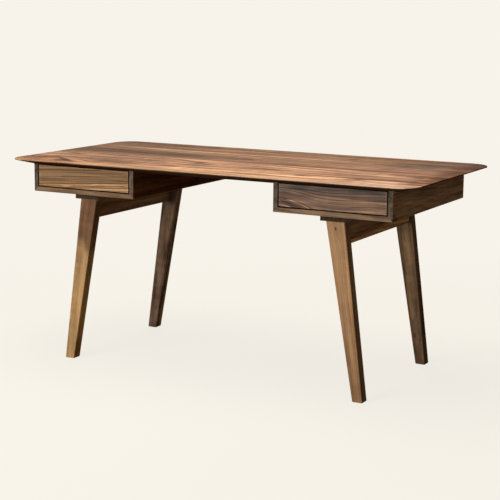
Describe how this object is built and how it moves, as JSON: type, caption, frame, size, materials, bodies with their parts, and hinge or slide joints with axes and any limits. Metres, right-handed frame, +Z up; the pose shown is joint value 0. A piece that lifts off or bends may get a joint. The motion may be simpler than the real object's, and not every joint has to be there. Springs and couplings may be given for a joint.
{
  "type": "table desk",
  "caption": "Walnut table desk with drawer casings hung under a round-cornered, bevelled top, on splayed leg frames.",
  "frame": {"origin": "on the floor, at the middle of the desk's outline seen from above", "axes": "+X along the desk's length, to the right of someone sitting at it; the drawer fronts look along -Y; +Z up"},
  "size_m": [1.6, 0.8, 0.75],
  "materials": {
    "top_walnut": "oiled satin",
    "casing_walnut": "oiled satin",
    "front_walnut": "oiled satin",
    "leg_walnut": "oiled satin",
    "drawer_box_wood": "clear satin",
    "drawer_panel": "clear satin",
    "tenon_beech": "bare",
    "slide_steel": "zinc plated",
    "cage_steel": "plain",
    "roller_steel": "ground",
    "screw_steel": "black oxide"
  },
  "bodies": {
    "desk": {"desk_top": "top_walnut", "left_casing_bottom": "casing_walnut", "left_casing_inboard_side": "casing_walnut", "left_casing_outboard_side": "casing_walnut", "left_casing_back": "casing_walnut", "left_frame_bearer": "leg_walnut", "left_front_leg": "leg_walnut", "left_rear_leg": "leg_walnut", "left_frame_rail": "leg_walnut", "left_inboard_slide_channel": "slide_steel", "left_outboard_slide_channel": "slide_steel", "right_casing_bottom": "casing_walnut", "right_casing_inboard_side": "casing_walnut", "right_casing_outboard_side": "casing_walnut", "right_casing_back": "casing_walnut", "right_frame_bearer": "leg_walnut", "right_front_leg": "leg_walnut", "right_rear_leg": "leg_walnut", "right_frame_rail": "leg_walnut", "right_inboard_slide_channel": "slide_steel", "right_outboard_slide_channel": "slide_steel", "casing_splines": "tenon_beech", "leg_tenons": "tenon_beech", "rail_tenons": "tenon_beech", "bearer_screws": "screw_steel"},
    "left_drawer": {"left_drawer_front": "front_walnut", "left_drawer_inboard_side": "drawer_box_wood", "left_drawer_outboard_side": "drawer_box_wood", "left_drawer_back": "drawer_box_wood", "left_drawer_bottom": "drawer_panel", "left_inboard_slide_runner": "slide_steel", "left_outboard_slide_runner": "slide_steel"},
    "left_slide_cages": {"left_inboard_slide_cage": "cage_steel", "left_outboard_slide_cage": "cage_steel", "left_inboard_slide_rollers": "roller_steel", "left_outboard_slide_rollers": "roller_steel"},
    "right_drawer": {"right_drawer_front": "front_walnut", "right_drawer_inboard_side": "drawer_box_wood", "right_drawer_outboard_side": "drawer_box_wood", "right_drawer_back": "drawer_box_wood", "right_drawer_bottom": "drawer_panel", "right_inboard_slide_runner": "slide_steel", "right_outboard_slide_runner": "slide_steel"},
    "right_slide_cages": {"right_inboard_slide_cage": "cage_steel", "right_outboard_slide_cage": "cage_steel", "right_inboard_slide_rollers": "roller_steel", "right_outboard_slide_rollers": "roller_steel"}
  },
  "joints": [
    {"name": "left_drawer_slide", "type": "slide", "parent": "desk", "child": "left_drawer", "axis": [0, -1, 0], "range_m": [0, 0.4]},
    {"name": "left_cages_slide", "type": "slide", "parent": "desk", "child": "left_slide_cages", "axis": [0, -1, 0], "range_m": [0, 0.2]},
    {"name": "right_drawer_slide", "type": "slide", "parent": "desk", "child": "right_drawer", "axis": [0, -1, 0], "range_m": [0, 0.4]},
    {"name": "right_cages_slide", "type": "slide", "parent": "desk", "child": "right_slide_cages", "axis": [0, -1, 0], "range_m": [0, 0.2]}
  ],
  "couplings": [
    {"joint": "left_cages_slide", "follows": "left_drawer_slide", "ratio": 0.5},
    {"joint": "right_cages_slide", "follows": "right_drawer_slide", "ratio": 0.5}
  ]
}
